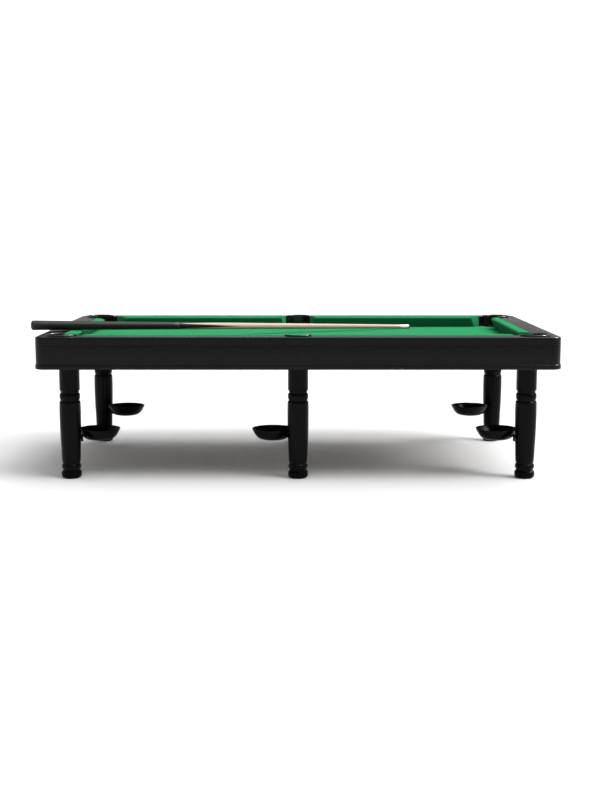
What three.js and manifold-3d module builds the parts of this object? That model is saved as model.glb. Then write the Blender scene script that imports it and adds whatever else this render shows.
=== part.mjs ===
// A nine-foot pool table with a cue lying on it.
// Millimetres, +X along the table, +Y to the rear long side, +Z up, the floor at z = 0.
// The table stands beside the origin by tableShift, so that the origin is the middle of the
// whole object's footprint, the cue's overhang included.
import * as THREE from 'three';
import { mergeVertices } from 'three/addons/utils/BufferGeometryUtils.js';
import Module from 'manifold-3d';

const wasm = await Module();
wasm.setup();

// ---- driving dimensions ----
const halfLength = 1460; // outer faces of the end aprons
const halfWidth = 825; // outer faces of the side aprons
const cornerRadius = 62;
const railTop = 828;
const bedTop = 763;
const cabinetBottom = 648;
const playHalfLength = 1270; // cushion nose to table centre, along X
const playHalfWidth = 635; // cushion nose to table centre, along Y
const gap = 0.3; // left between pieces that touch
const reach = 2000; // longer than the table, for cutting tools

// Cabinet
const apronThickness = 25;
const apronTop = 788;
const beadHeight = 27;
const beadProud = 4;
const beadRound = 8;

// Rails
const cushionDepth = 66; // nose to the back of the rubber
const railEdgeRound = 6;
const railInnerX = playHalfLength + cushionDepth + gap;
const railInnerY = playHalfWidth + cushionDepth + gap;
const jawAlong = 62; // how far a corner jaw runs along its rail
const cornerMouthX = 115; // corner of the nose lines to the long cushion's end
const cornerMouthY = 120; // the same for the end cushion
const sideMouthFront = 110; // half the side mouth at the noses
const sideMouthBack = 79; // half the side mouth at the back of the jaws

// Pockets
const cornerPocket = { x: 1328, y: 698, wall: 78, rim: 88 };
const sidePocket = { x: 0, y: 700, wall: 68, rim: 77 };
const pocketWallThickness = 4;
const pocketFloor = 666;
const rimRise = 8;
const rimRound = 3;
const pocketClearance = 2; // round notches stand this far off the liner's wall

// Bed
const slateThickness = 25;
const slateHalfLength = 1380;
const slateHalfWidth = 745;
const clothThickness = 1.7;
const slateTop = bedTop - clothThickness - gap;
const slateBottom = slateTop - slateThickness;

// Legs and feet
const legX = 1303;
const legY = 615;
const legTop = 658;
const footHeight = 44;
const footRadius = 57.3;
const footSole = 44; // radius of the flat under the foot
const neckRadius = 49.3; // groove between leg and foot
const studRadius = 8;
const studTop = 98;
const studClearance = 0.5;
const boreTop = 106;

// Frame beams
const beamWidth = 80;
const beamY = 575;
const beamHalfLength = 1405;

// Dishes and their brackets
const dishRadius = 121;
const dishRim = 269;
const dishFloor = 203;
const dishWall = 3;
const pinFromLeg = 85; // leg axis to the hinge pin
const dishFromPin = 108; // hinge pin to the dish's centre
// Bearings in degrees: the pin's from the leg, off the X axis, and the dish's from the pin, off
// the pin's own. The rear dishes hang lower than the front ones by their drop.
const frontDish = { pinAngle: 55, foldAngle: -30, drop: 0, legHere: 58.3 };
const rearDish = { pinAngle: 17.5, foldAngle: 22.5, drop: 16, legHere: 57 };
const pinRadius = 4;
const pinClearance = 0.4;
const hubRadius = 10;
const hubTop = 238;
const pinTop = 229;
const bracketBottom = 200;
const bracketTop = 211.5;
const bracketWidth = 20;

// Cue
const cueLength = 2484;
const cueJoint = 886; // butt end to the joint collar
const ferruleStart = 2408;
const buttRadius = 28.5;
const jointRadius = 22.3;
const tipRadius = 12;
const buttRound = 10;
const cueButtEnd = new THREE.Vector3(-1548, -445, 863.5);
const cueTipEnd = new THREE.Vector3(738, 525, 775.9);

const tableShift = 46;

// ---- finishes ----
function finish(color, roughness, metalness = 0) {
  return new THREE.MeshStandardMaterial({ color, roughness, metalness });
}

const blackLacquer = finish(0x1c1c1c, 0.35);
const blackPlastic = finish(0x0c0d0e, 0.25);
const blackMetal = finish(0x151515, 0.4, 0.6);
const greenCloth = finish(0x3cab6e, 0.95);
const slateStone = finish(0x4a4e52, 0.8);
const pine = finish(0xa98a5e, 0.7);
const rubber = finish(0x141414, 0.8);
const stainedWood = finish(0x17130f, 0.3);
const maple = finish(0xe8d9b8, 0.35);
const ferruleWhite = finish(0xf2f2ec, 0.3);

// ---- solids ----
function toSolid(geometry) {
  const bare = geometry.clone();
  bare.deleteAttribute('normal');
  bare.deleteAttribute('uv');
  const merged = mergeVertices(bare, 1e-4);
  return new wasm.Manifold(new wasm.Mesh({
    numProp: 3,
    vertProperties: new Float32Array(merged.attributes.position.array),
    triVerts: new Uint32Array(merged.index.array),
  }));
}

function toGeometry(solid) {
  const mesh = solid.getMesh();
  const geometry = new THREE.BufferGeometry();
  geometry.setAttribute('position', new THREE.BufferAttribute(mesh.vertProperties, 3));
  geometry.setIndex(new THREE.BufferAttribute(mesh.triVerts, 1));
  geometry.computeVertexNormals();
  return geometry;
}

function block(x0, x1, y0, y1, z0, z1) {
  const box = new THREE.BoxGeometry(x1 - x0, y1 - y0, z1 - z0);
  box.translate((x0 + x1) / 2, (y0 + y1) / 2, (z0 + z1) / 2);
  return toSolid(box);
}

function roundedRectangle(halfX, halfY, radius) {
  const shape = new THREE.Shape();
  const cx = halfX - radius;
  const cy = halfY - radius;
  shape.absarc(cx, cy, radius, 0, Math.PI / 2);
  shape.absarc(-cx, cy, radius, Math.PI / 2, Math.PI);
  shape.absarc(-cx, -cy, radius, Math.PI, 1.5 * Math.PI);
  shape.absarc(cx, -cy, radius, 1.5 * Math.PI, 2 * Math.PI);
  return shape;
}

function polygon(points) {
  return new THREE.Shape(points.map(([x, y]) => new THREE.Vector2(x, y)));
}

// An outline in plan, carried straight up from z0 to z1.
function upright(shape, z0, z1) {
  const geometry = new THREE.ExtrudeGeometry(shape, {
    depth: z1 - z0,
    bevelEnabled: false,
    curveSegments: 8,
  });
  geometry.translate(0, 0, z0);
  return toSolid(geometry);
}

// The same with both edges rounded, standing proud of the outline by the bevel.
function uprightRounded(shape, z0, z1, proud, round, steps) {
  const geometry = new THREE.ExtrudeGeometry(shape, {
    depth: z1 - z0 - 2 * round,
    bevelSize: proud,
    bevelThickness: round,
    bevelSegments: steps,
    curveSegments: 8,
  });
  geometry.translate(0, 0, z0 + round);
  return toSolid(geometry);
}

// A profile of [radius, height] points, turned about the Z axis.
function turned(profile, segments) {
  const points = profile.map(([r, z]) => new THREE.Vector2(r, z));
  const geometry = new THREE.LatheGeometry(points, segments);
  geometry.rotateX(Math.PI / 2);
  return geometry;
}

function post(x, y, radius, z0, z1, segments = 24) {
  const profile = [[0, z0], [radius, z0], [radius, z1], [0, z1]];
  const geometry = turned(profile, segments);
  geometry.translate(x, y, 0);
  return toSolid(geometry);
}

// A quarter round from start to end, bulging to the outside of the profile.
function quarterRound(centreR, centreZ, radius, fromDegrees, toDegrees, steps) {
  const points = [];
  for (let i = 0; i <= steps; i += 1) {
    const angle = THREE.MathUtils.degToRad(fromDegrees + (toDegrees - fromDegrees) * i / steps);
    points.push([centreR + radius * Math.cos(angle), centreZ + radius * Math.sin(angle)]);
  }
  return points;
}

// ---- the assembly ----
const table = new THREE.Group();
table.position.x = tableShift;

function add(name, shape, material, parent = table) {
  const geometry = shape.isBufferGeometry ? shape : toGeometry(shape);
  const mesh = new THREE.Mesh(geometry, material);
  mesh.name = name;
  parent.add(mesh);
  return mesh;
}

const ends = [['left', -1], ['right', 1]];
const sides = [['front', -1], ['rear', 1]];

// Six pockets: the four corners and the middle of each long side.
const pockets = [];
for (const [sideName, sy] of sides) {
  for (const [endName, sx] of ends) {
    pockets.push({ name: `${sideName}_${endName}`, sx, sy, size: cornerPocket });
  }
  pockets.push({ name: `${sideName}_middle`, sx: 0, sy, size: sidePocket });
}

function cutPockets(solid, z0, z1) {
  let cut = solid;
  for (const { sx, sy, size } of pockets) {
    const radius = size.wall + pocketClearance;
    cut = cut.subtract(post(sx * size.x, sy * size.y, radius, z0, z1));
  }
  return cut;
}

// ---- cabinet: straight aprons and round corners, with a bead along the foot ----
const cabinetOutline = roundedRectangle(halfLength, halfWidth, cornerRadius);
const beadTop = cabinetBottom + beadHeight;
const cabinetInside = roundedRectangle(
  halfLength - apronThickness,
  halfWidth - apronThickness,
  cornerRadius - apronThickness,
);
const cabinetWall = upright(cabinetOutline, beadTop - beadRound, apronTop)
  .add(uprightRounded(cabinetOutline, cabinetBottom, beadTop, beadProud, beadRound, 3))
  .subtract(upright(cabinetInside, cabinetBottom - 10, apronTop + 10));
const straightX = halfLength - cornerRadius - gap / 2;
const straightY = halfWidth - cornerRadius - gap / 2;

function cabinetPiece(x0, x1, y0, y1) {
  return cabinetWall.intersect(block(x0, x1, y0, y1, 0, reach));
}

function span(sign, near, far) {
  return sign > 0 ? [near, far] : [-far, -near];
}

for (const [sideName, sy] of sides) {
  const piece = cabinetPiece(-straightX, straightX, ...span(sy, straightY, reach));
  add(`${sideName}_apron`, piece, blackLacquer);
}
for (const [endName, sx] of ends) {
  const piece = cabinetPiece(...span(sx, straightX, reach), -straightY, straightY);
  add(`${endName}_apron`, piece, blackLacquer);
}
for (const [sideName, sy] of sides) {
  for (const [endName, sx] of ends) {
    const spanX = span(sx, straightX + gap, reach);
    const spanY = span(sy, straightY + gap, reach);
    add(`${sideName}_${endName}_corner_apron`, cabinetPiece(...spanX, ...spanY), blackLacquer);
  }
}

// ---- rail caps: one flat band round the table, mitred at the corners, split at the pockets ----
const railOutline = roundedRectangle(
  halfLength - railEdgeRound,
  halfWidth - railEdgeRound,
  cornerRadius - railEdgeRound,
);
const railBottom = bedTop + gap;
const railInsideApron = roundedRectangle(
  halfLength - apronThickness - gap,
  halfWidth - apronThickness - gap,
  cornerRadius - apronThickness - gap,
);
const railBand = uprightRounded(
  railOutline,
  bedTop - 2 * railEdgeRound,
  railTop,
  railEdgeRound,
  railEdgeRound,
  3,
);
const railAboveApron = block(-reach, reach, -reach, reach, apronTop + gap, reach);
const railRing = cutPockets(
  railBand
    .intersect(railAboveApron.add(upright(railInsideApron, railBottom, apronTop + 2 * gap)))
    .subtract(block(-railInnerX, railInnerX, -railInnerY, railInnerY, 0, reach)),
  0,
  reach,
);
const mitreOffset = railInnerX - railInnerY; // x - y along the mitre line

for (const [sideName, sy] of sides) {
  for (const [endName, sx] of ends) {
    const inner = playHalfWidth;
    const outer = halfWidth + 100;
    const plan = polygon([
      [sx * gap / 2, sy * inner],
      [sx * (inner + mitreOffset - gap), sy * inner],
      [sx * (outer + mitreOffset - gap), sy * outer],
      [sx * gap / 2, sy * outer],
    ]);
    const cap = railRing.intersect(upright(plan, 0, reach));
    add(`${sideName}_${endName}_rail_cap`, cap, blackLacquer);
  }
}
for (const [endName, sx] of ends) {
  const inner = playHalfWidth;
  const outer = halfWidth + 100;
  const plan = polygon([
    [sx * (inner + mitreOffset), -inner],
    [sx * (outer + mitreOffset), -outer],
    [sx * reach, -outer],
    [sx * reach, outer],
    [sx * (outer + mitreOffset), outer],
    [sx * (inner + mitreOffset), inner],
  ]);
  add(`${endName}_rail_cap`, railRing.intersect(upright(plan, 0, reach)), blackLacquer);
}

// ---- cushions: cloth-covered rubber, undercut below the nose ----
// Section as [distance outboard of the nose, height].
const cushionSection = [
  [28, bedTop + gap],
  [cushionDepth, bedTop + gap],
  [cushionDepth, railTop - 1.5],
  [8, railTop - 3.5],
  [2, railTop - 6],
  [0, railTop - 11],
  [2.5, railTop - 15],
];

// The section carried along the rail whose outboard side faces +Y, then turned to face angle.
function cushionBar(noseDistance, angle) {
  const shape = polygon(cushionSection.map(([d, z]) => [noseDistance + d, z]));
  const geometry = new THREE.ExtrudeGeometry(shape, { depth: 2 * reach, bevelEnabled: false });
  geometry.translate(0, 0, -reach);
  geometry.rotateZ(Math.PI / 2);
  geometry.rotateY(Math.PI / 2);
  geometry.rotateZ(angle - Math.PI / 2);
  return toSolid(geometry);
}

const cushionBack = playHalfWidth + cushionDepth;
const cornerNoseX = playHalfLength - cornerMouthX;
const cornerNoseY = playHalfWidth - cornerMouthY;
for (const [sideName, sy] of sides) {
  const bar = cushionBar(playHalfWidth, sy * Math.PI / 2);
  for (const [endName, sx] of ends) {
    const plan = polygon([
      [sx * sideMouthFront, sy * playHalfWidth],
      [sx * cornerNoseX, sy * playHalfWidth],
      [sx * (cornerNoseX + jawAlong), sy * cushionBack],
      [sx * sideMouthBack, sy * cushionBack],
    ]);
    add(`${sideName}_${endName}_cushion`, bar.intersect(upright(plan, 0, reach)), greenCloth);
  }
}
for (const [endName, sx] of ends) {
  const bar = cushionBar(playHalfLength, sx > 0 ? 0 : Math.PI);
  const back = playHalfLength + cushionDepth;
  const plan = polygon([
    [sx * playHalfLength, -cornerNoseY],
    [sx * back, -cornerNoseY - jawAlong],
    [sx * back, cornerNoseY + jawAlong],
    [sx * playHalfLength, cornerNoseY],
  ]);
  add(`${endName}_cushion`, bar.intersect(upright(plan, 0, reach)), greenCloth);
}

// ---- bed: three slates side by side under one cloth ----
const slateWidth = 2 * slateHalfLength / 3;
['left', 'middle', 'right'].forEach((name, i) => {
  const x0 = -slateHalfLength + i * slateWidth;
  const slab = block(
    x0 + gap / 2,
    x0 + slateWidth - gap / 2,
    -slateHalfWidth,
    slateHalfWidth,
    slateBottom,
    slateTop,
  );
  add(`${name}_slate`, cutPockets(slab, 0, reach), slateStone);
});
const clothBlank = block(
  -slateHalfLength,
  slateHalfLength,
  -slateHalfWidth,
  slateHalfWidth,
  slateTop + gap,
  bedTop,
);
add('bed_cloth', cutPockets(clothBlank, 0, reach), greenCloth);

// ---- frame under the slates ----
const beamBottom = legTop + gap;
const beamTop = slateBottom - gap;
for (const [sideName, sy] of sides) {
  const y0 = sy * beamY - beamWidth / 2;
  const beam = block(-beamHalfLength, beamHalfLength, y0, y0 + beamWidth, beamBottom, beamTop);
  add(`${sideName}_frame_beam`, beam, pine);
}
const crossHalf = beamY - beamWidth / 2 - gap;
for (const [name, x] of [['left', -legX], ['middle', 0], ['right', legX]]) {
  const x0 = x - beamWidth / 2;
  const beam = block(x0, x0 + beamWidth, -crossHalf, crossHalf, beamBottom, beamTop);
  add(`${name}_cross_beam`, beam, pine);
}

// ---- pocket liners: a drop cup with a raised rim, open towards the bed ----
function pocketLiner(size) {
  const inner = size.wall - pocketWallThickness;
  const rimTop = railTop + gap + rimRise;
  return toSolid(turned([
    [0, pocketFloor],
    [size.wall, pocketFloor],
    [size.wall, railTop + gap],
    [size.rim, railTop + gap],
    ...quarterRound(size.rim - rimRound, rimTop - rimRound, rimRound, 0, 90, 2),
    ...quarterRound(inner + 2 * rimRound, rimTop - 2 * rimRound, 2 * rimRound, 90, 180, 3),
    [inner, pocketFloor + pocketWallThickness],
    [0, pocketFloor + pocketWallThickness],
  ], 24));
}

for (const { name, sx, sy, size } of pockets) {
  const outboardX = sx === 0 ? reach : railInnerX + gap;
  const mouth = block(
    ...(sx < 0 ? [-outboardX, reach] : [-reach, outboardX]),
    ...(sy < 0 ? [-railInnerY - gap, reach] : [-reach, railInnerY + gap]),
    slateTop,
    reach,
  );
  const liner = pocketLiner(size).translate([sx * size.x, sy * size.y, 0]).subtract(mouth);
  add(`${name}_pocket`, liner, blackPlastic);
}

// ---- legs: turned, with a bored foot end ----
const legBody = [
  [neckRadius, footHeight + gap],
  [neckRadius, 54],
  [54.2, 62],
  [54.8, 71],
  [53.6, 77],
  [49.6, 84],
  [50.8, 93],
  [54.6, 129],
  [55.7, 176],
  [58.1, 222],
  [60.6, 310],
  [61.2, 375],
  [60.8, 415],
  [59.6, 441],
  [56, 447],
  [56, 456],
  [57.7, 466],
  [57.7, 481],
  [53.7, 490],
  [53.7, 503],
  [57.9, 512],
  [58.1, legTop],
];
const legSegments = 12;

function legGeometry() {
  return turned([
    [0, boreTop],
    [studRadius + studClearance, boreTop],
    [studRadius + studClearance, footHeight + gap],
    ...legBody,
    [0, legTop],
  ], legSegments);
}

function footGeometry() {
  return turned([
    [0, 0],
    [footSole, 0],
    [footRadius - 5.3, 4.5],
    [footRadius - 1, 13],
    [footRadius, 21],
    [footRadius, 32],
    [footRadius - 2.3, 39],
    [neckRadius, footHeight],
    [studRadius, footHeight],
    [studRadius, studTop],
    [0, studTop],
  ], legSegments);
}

const legs = [];
for (const [sideName, sy] of sides) {
  for (const [name, x] of [['left', -legX], ['middle', 0], ['right', legX]]) {
    legs.push({ name: `${sideName}_${name}`, x, y: sy * legY });
  }
}
for (const { name, x, y } of legs) {
  const stand = new THREE.Group();
  stand.position.set(x, y, 0);
  table.add(stand);
  add(`${name}_leg`, legGeometry(), blackLacquer, stand);
  add(`${name}_foot`, footGeometry(), rubber, stand);
}

// ---- dishes, each swinging on a pin that stands on a bracket beside a leg ----
// Worked out for a leg whose dish lies towards +X and +Y, then mirrored by sign.
const dishSegments = 16;
const bowlOutside = [
  [0, dishFloor],
  [50, dishFloor],
  [76, 208],
  [93, 219],
  [104.5, 235],
  [112, 248],
  [118, 260],
  [dishRadius, dishRim],
];
const bowlInside = [
  [dishRadius - dishWall, dishRim],
  [115.2, 261],
  [109.2, 249.4],
  [101.8, 236.6],
  [90.9, 221.2],
  [74.6, 210.9],
  [49.7, dishFloor + dishWall],
  [0, dishFloor + dishWall],
];

function along(degrees, distance) {
  const angle = THREE.MathUtils.degToRad(degrees);
  return [distance * Math.cos(angle), distance * Math.sin(angle)];
}

function dishGeometry(mirrorX, mirrorY, { pinAngle, foldAngle }) {
  const [pinX, pinY] = along(pinAngle, pinFromLeg);
  const [armX, armY] = along(pinAngle + foldAngle, dishFromPin);
  const centre = [mirrorX * (pinX + armX), mirrorY * (pinY + armY)];
  const hubAt = [mirrorX * pinX, mirrorY * pinY];
  const bowl = toSolid(turned([...bowlOutside, ...bowlInside], dishSegments));
  const filled = toSolid(turned([...bowlOutside, [0, dishRim]], dishSegments));
  const hub = post(...hubAt, hubRadius, bracketTop + gap, hubTop, 12)
    .subtract(filled.translate([...centre, 0]))
    .add(bowl.translate([...centre, 0]));
  return hub.subtract(post(...hubAt, pinRadius + pinClearance, 0, pinTop + gap, 12));
}

// legHere is the leg's radius at the bracket, and a gap.
function bracketGeometry(mirrorX, mirrorY, { pinAngle, legHere }) {
  const [pinX, pinY] = along(pinAngle, pinFromLeg);
  const [sideX, sideY] = along(pinAngle + 90, bracketWidth / 2);
  const arm = polygon([
    [mirrorX * sideX, mirrorY * sideY],
    [mirrorX * -sideX, mirrorY * -sideY],
    [mirrorX * (pinX - sideX), mirrorY * (pinY - sideY)],
    [mirrorX * (pinX + sideX), mirrorY * (pinY + sideY)],
  ]);
  const bar = upright(arm, bracketBottom, bracketTop)
    .add(post(mirrorX * pinX, mirrorY * pinY, bracketWidth / 2, bracketBottom, bracketTop, 12))
    .add(post(mirrorX * pinX, mirrorY * pinY, pinRadius, bracketTop - 1, pinTop, 12));
  return bar.subtract(post(0, 0, legHere, 0, reach, legSegments));
}

const dishSides = [
  ['front_left', 1, 1, frontDish],
  ['front_middle', -1, 1, frontDish],
  ['front_right', -1, 1, frontDish],
  ['rear_left', 1, -1, rearDish],
  ['rear_right', -1, -1, rearDish],
];
for (const [name, mirrorX, mirrorY, hang] of dishSides) {
  const leg = legs.find((candidate) => candidate.name === name);
  const stand = new THREE.Group();
  stand.position.set(leg.x, leg.y, -hang.drop);
  table.add(stand);
  add(`${name}_dish_bracket`, bracketGeometry(mirrorX, mirrorY, hang), blackMetal, stand);
  add(`${name}_dish`, dishGeometry(mirrorX, mirrorY, hang), blackPlastic, stand);
}

// ---- cue: resting on the left rail and, at its tip, on the cloth ----
const cue = new THREE.Group();
const cueDirection = cueTipEnd.clone().sub(cueButtEnd).normalize();
cue.position.copy(cueButtEnd);
cue.quaternion.setFromUnitVectors(new THREE.Vector3(0, 0, 1), cueDirection);
table.add(cue);

// The radius falls in a straight line from butt to joint and from joint to tip.
function cueRadius(distance) {
  if (distance < cueJoint) {
    return THREE.MathUtils.lerp(buttRadius, jointRadius, distance / cueJoint);
  }
  return THREE.MathUtils.lerp(
    jointRadius,
    tipRadius,
    (distance - cueJoint) / (cueLength - cueJoint),
  );
}

function cuePiece(from, to, start = [], finishRound = []) {
  const profile = [
    [0, from],
    ...(start.length ? start : [[cueRadius(from), from]]),
    ...(finishRound.length ? finishRound : [[cueRadius(to), to]]),
    [0, to],
  ];
  return turned(profile, 16);
}

const buttStart = quarterRound(buttRadius - buttRound, buttRound, buttRound, -90, 0, 3);
const tipFinish = quarterRound(tipRadius - 4, cueLength - 4, 4, 0, 90, 2);
add('cue_butt', cuePiece(0, cueJoint - gap / 2, buttStart), stainedWood, cue);
add('cue_shaft', cuePiece(cueJoint + gap / 2, ferruleStart - gap / 2), maple, cue);
add('cue_ferrule', cuePiece(ferruleStart + gap / 2, cueLength, [], tipFinish), ferruleWhite, cue);

export default table;
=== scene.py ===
"""A nine-foot pool table with its cue: the finished surfaces, made round the fixed frame.

Metres, +X along the table, +Y to the rear long side, +Z up, the floor at z = 0.
Shapes are worked out in the table's own middle and then moved along X by TABLE_X.
"""
import math

import bmesh
import bpy
import numpy as np
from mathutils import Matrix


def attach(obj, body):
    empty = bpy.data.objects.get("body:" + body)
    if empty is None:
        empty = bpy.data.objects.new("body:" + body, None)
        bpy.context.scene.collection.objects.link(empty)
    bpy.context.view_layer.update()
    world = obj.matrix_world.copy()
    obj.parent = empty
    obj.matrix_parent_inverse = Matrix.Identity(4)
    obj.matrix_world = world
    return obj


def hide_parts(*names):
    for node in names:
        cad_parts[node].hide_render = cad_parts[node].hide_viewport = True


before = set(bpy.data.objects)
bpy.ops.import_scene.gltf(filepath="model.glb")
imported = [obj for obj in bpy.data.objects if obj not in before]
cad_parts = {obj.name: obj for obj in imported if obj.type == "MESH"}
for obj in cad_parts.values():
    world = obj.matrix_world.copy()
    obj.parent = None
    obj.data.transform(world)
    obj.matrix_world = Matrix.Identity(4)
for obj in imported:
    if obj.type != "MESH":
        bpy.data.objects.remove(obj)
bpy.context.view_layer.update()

# ---- driving dimensions, in metres, as in the frame ----
TABLE_X = 0.046  # the table's middle; the cue's butt overhangs on the other side
HALF_LENGTH = 1.460
HALF_WIDTH = 0.825
CORNER_RADIUS = 0.062
RAIL_TOP = 0.828
BED_TOP = 0.763
CABINET_BOTTOM = 0.648
APRON_TOP = 0.788
APRON_THICKNESS = 0.025
GAP = 0.0003

NOSE_X = 1.270
NOSE_Y = 0.635
CUSHION_DEPTH = 0.066
RAIL_INNER_X = NOSE_X + CUSHION_DEPTH + GAP
RAIL_INNER_Y = NOSE_Y + CUSHION_DEPTH + GAP
CORNER_POCKET = {"x": 1.328, "y": 0.698, "wall": 0.078, "rim": 0.088}
SIDE_POCKET = {"x": 0.0, "y": 0.700, "wall": 0.068, "rim": 0.077}
NOTCH = 0.002  # round notches stand this far off a pocket's wall
POCKET_WALL = 0.004
POCKET_FLOOR = 0.666
RIM_RISE = 0.008

SLATE_HALF_LENGTH = 1.380
SLATE_HALF_WIDTH = 0.745
SLATE_THICKNESS = 0.025
CLOTH_THICKNESS = 0.0017
SLATE_TOP = BED_TOP - CLOTH_THICKNESS - GAP
SLATE_BOTTOM = SLATE_TOP - SLATE_THICKNESS

LEG_X = 1.303
LEG_Y = 0.615
LEG_TOP = 0.658
BEAM_Y = 0.575
BEAM_WIDTH = 0.080
BEAM_HALF_LENGTH = 1.405

CUE_BUTT_END = np.array([-1.548, -0.445, 0.8635])
CUE_TIP_END = np.array([0.738, 0.525, 0.7759])
CUE_JOINT = 0.886
FERRULE_START = 2.408
CUE_LENGTH = 2.484
SPLICE_END = 1.288
BUTT_RADIUS = 0.0285
JOINT_RADIUS = 0.0223
TIP_RADIUS = 0.012

CAMERA_LENS = 56.27  # millimetres
CAMERA_PLACE = (TABLE_X - 0.003, -7.615, 1.4563)
CAMERA_TIP = math.radians(7.995)  # downwards

ENDS = (("left", -1), ("right", 1))
SIDES = (("front", -1), ("rear", 1))
QUARTERS = [(f"{side}_{end}", sx, sy) for side, sy in SIDES for end, sx in ENDS]
LEG_PLACES = {"left": -LEG_X, "middle": 0.0, "right": LEG_X}


# ---- camera, first ----
def added(name, data):
    """A new object of the scene that holds a mesh, light or camera."""
    made = bpy.data.objects.new(name, data)
    bpy.context.scene.collection.objects.link(made)
    return made


def make_camera():
    """The camera stands in front of the long side, a little above the rails, tipped down."""
    data = bpy.data.cameras.new("camera")
    data.lens = CAMERA_LENS
    data.clip_end = 200
    camera = added("camera", data)
    camera.location = CAMERA_PLACE
    camera.rotation_euler = (math.pi / 2 - CAMERA_TIP, 0, 0)
    bpy.context.scene.camera = camera


make_camera()


# ---- outlines and sections: rows of two coordinates ----
EASE_SHARE = 0.48  # the most of a side that the rounding of one corner takes
STRAIGHT_ON = 1.56  # a half angle, in radians, from which a corner counts as none


def arc(centre, radius, start, end, steps):
    """Points on a circle from start to end degrees: centre + radius * (cos, sin)."""
    angle = np.radians(np.linspace(start, end, steps + 1))
    return np.asarray(centre) + radius * np.stack([np.cos(angle), np.sin(angle)], axis=1)


def eased(corners, closed=True, steps=5):
    """A line through (a, b, radius) corners, each corner replaced by the arc tangent to both sides."""
    places = np.array([c[:2] for c in corners], float)
    count = len(places)
    parts = []
    for i, corner in enumerate(corners):
        here = places[i]
        radius = corner[2] if len(corner) > 2 else 0.0
        if radius == 0 or (not closed and i in (0, count - 1)):
            parts.append(here[None])
            continue
        back = places[i - 1] - here
        on = places[(i + 1) % count] - here
        room = EASE_SHARE * min(np.linalg.norm(back), np.linalg.norm(on))
        back = back / np.linalg.norm(back)
        on = on / np.linalg.norm(on)
        half = 0.5 * math.acos(float(np.clip(back @ on, -1, 1)))
        if half > STRAIGHT_ON:
            parts.append(here[None])
            continue
        cut = min(radius / math.tan(half), room)
        radius = cut * math.tan(half)
        middle = here + (back + on) / np.linalg.norm(back + on) * radius / math.sin(half)
        first = here + back * cut - middle
        last = here + on * cut - middle
        turn = math.atan2(first[0] * last[1] - first[1] * last[0], first @ last)
        angle = turn * np.linspace(0, 1, steps + 1)
        cos, sin = np.cos(angle), np.sin(angle)
        x = first[0] * cos - first[1] * sin
        y = first[0] * sin + first[1] * cos
        parts.append(middle + np.stack([x, y], axis=1))
    return np.concatenate(parts)


def inset(outline, distance):
    """A closed outline moved inwards, each edge by its own distance; a corner goes to where its
    two moved edges meet, or straight in by their mean where they are nearly in line."""
    ahead = np.roll(outline, -1, axis=0)
    turn = np.sign(np.sum(outline[:, 0] * ahead[:, 1] - outline[:, 1] * ahead[:, 0]))
    edge = ahead - outline
    edge = edge / np.maximum(np.linalg.norm(edge, axis=1, keepdims=True), 1e-12)
    normal = np.stack([-edge[:, 1], edge[:, 0]], axis=1) * turn
    before = np.roll(normal, 1, axis=0)
    distance = np.broadcast_to(np.asarray(distance, float), (len(outline),))
    d1 = np.roll(distance, 1)[:, None]
    d2 = distance[:, None]
    cross = (before[:, 0] * normal[:, 1] - before[:, 1] * normal[:, 0])[:, None]
    flat = np.abs(cross) < 0.3
    safe = np.where(flat, 1.0, cross)

    def across(way):
        return np.stack([way[:, 1], -way[:, 0]], axis=1)

    met = (d1 * across(normal) - d2 * across(before)) / safe
    both = before + normal
    straight = both / np.maximum(1 + np.sum(before * normal, axis=1, keepdims=True), 0.2)
    return outline + np.where(flat, straight * (d1 + d2) / 2, met)


# ---- shells: points, quads between them, and round caps ----
def grid_shell(points, caps=()):
    """Quads between neighbouring rows and columns of points[row, column], and one many-sided face
    on each row named in caps. The UV is the distance along the columns and along the rows."""
    rows, columns = points.shape[:2]
    index = np.arange(rows * columns).reshape(rows, columns)
    corners = [index[:-1, :-1], index[1:, :-1], index[1:, 1:], index[:-1, 1:]]
    quads = np.stack(corners, axis=-1).reshape(-1, 4)
    step_u = np.linalg.norm(np.diff(points, axis=1), axis=2).max(axis=0)
    step_v = np.linalg.norm(np.diff(points, axis=0), axis=2).max(axis=1)
    u = np.concatenate([[0], np.cumsum(step_u)])
    v = np.concatenate([[0], np.cumsum(step_v)])
    uv = np.stack(np.meshgrid(u, v), axis=-1)
    return {
        "points": points.reshape(-1, 3),
        "faces": quads.tolist() + [index[row, :-1].tolist() for row in caps],
        "uv": uv.reshape(-1, 2),
    }


def closed(ring):
    """A row of points with its first point again at the end."""
    return np.concatenate([ring, ring[:1]])


def stack(outline, kinds, levels):
    """A slab that stands on its plan: at each level the outline moves in by that level's inset for
    the edge's kind and lies at that level's height for it. A level is {kind: (inset, z)}."""
    rows = []
    for level in levels:
        moved = inset(outline, [level[kind][0] for kind in kinds])
        height = np.array([level[kind][1] for kind in kinds])
        height = np.minimum(height, np.roll(height, 1))
        rows.append(closed(np.column_stack([moved, height])))
    return grid_shell(np.stack(rows), caps=(0, len(rows) - 1))


def slab_levels(bottom, top, ease, kinds=("side",)):
    """Levels of a plain slab whose lower and upper edges are rounded by ease."""
    angle = np.linspace(0, math.pi / 2, 4)
    low = [(ease * (1 - math.sin(a)), bottom + ease * (1 - math.cos(a))) for a in angle]
    high = [(ease * (1 - math.cos(a)), top - ease * (1 - math.sin(a))) for a in angle]
    return [{kind: pair for kind in kinds} for pair in low + high]


def slab(outline, bottom, top, ease):
    """A plain slab between two heights, all its edges rounded by ease."""
    return stack(outline, ["side"] * len(outline), slab_levels(bottom, top, ease))


def rectangle(x0, x1, y0, y1):
    """The four corners, walked anticlockwise."""
    return np.array([(x0, y0), (x1, y0), (x1, y1), (x0, y1)])


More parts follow.
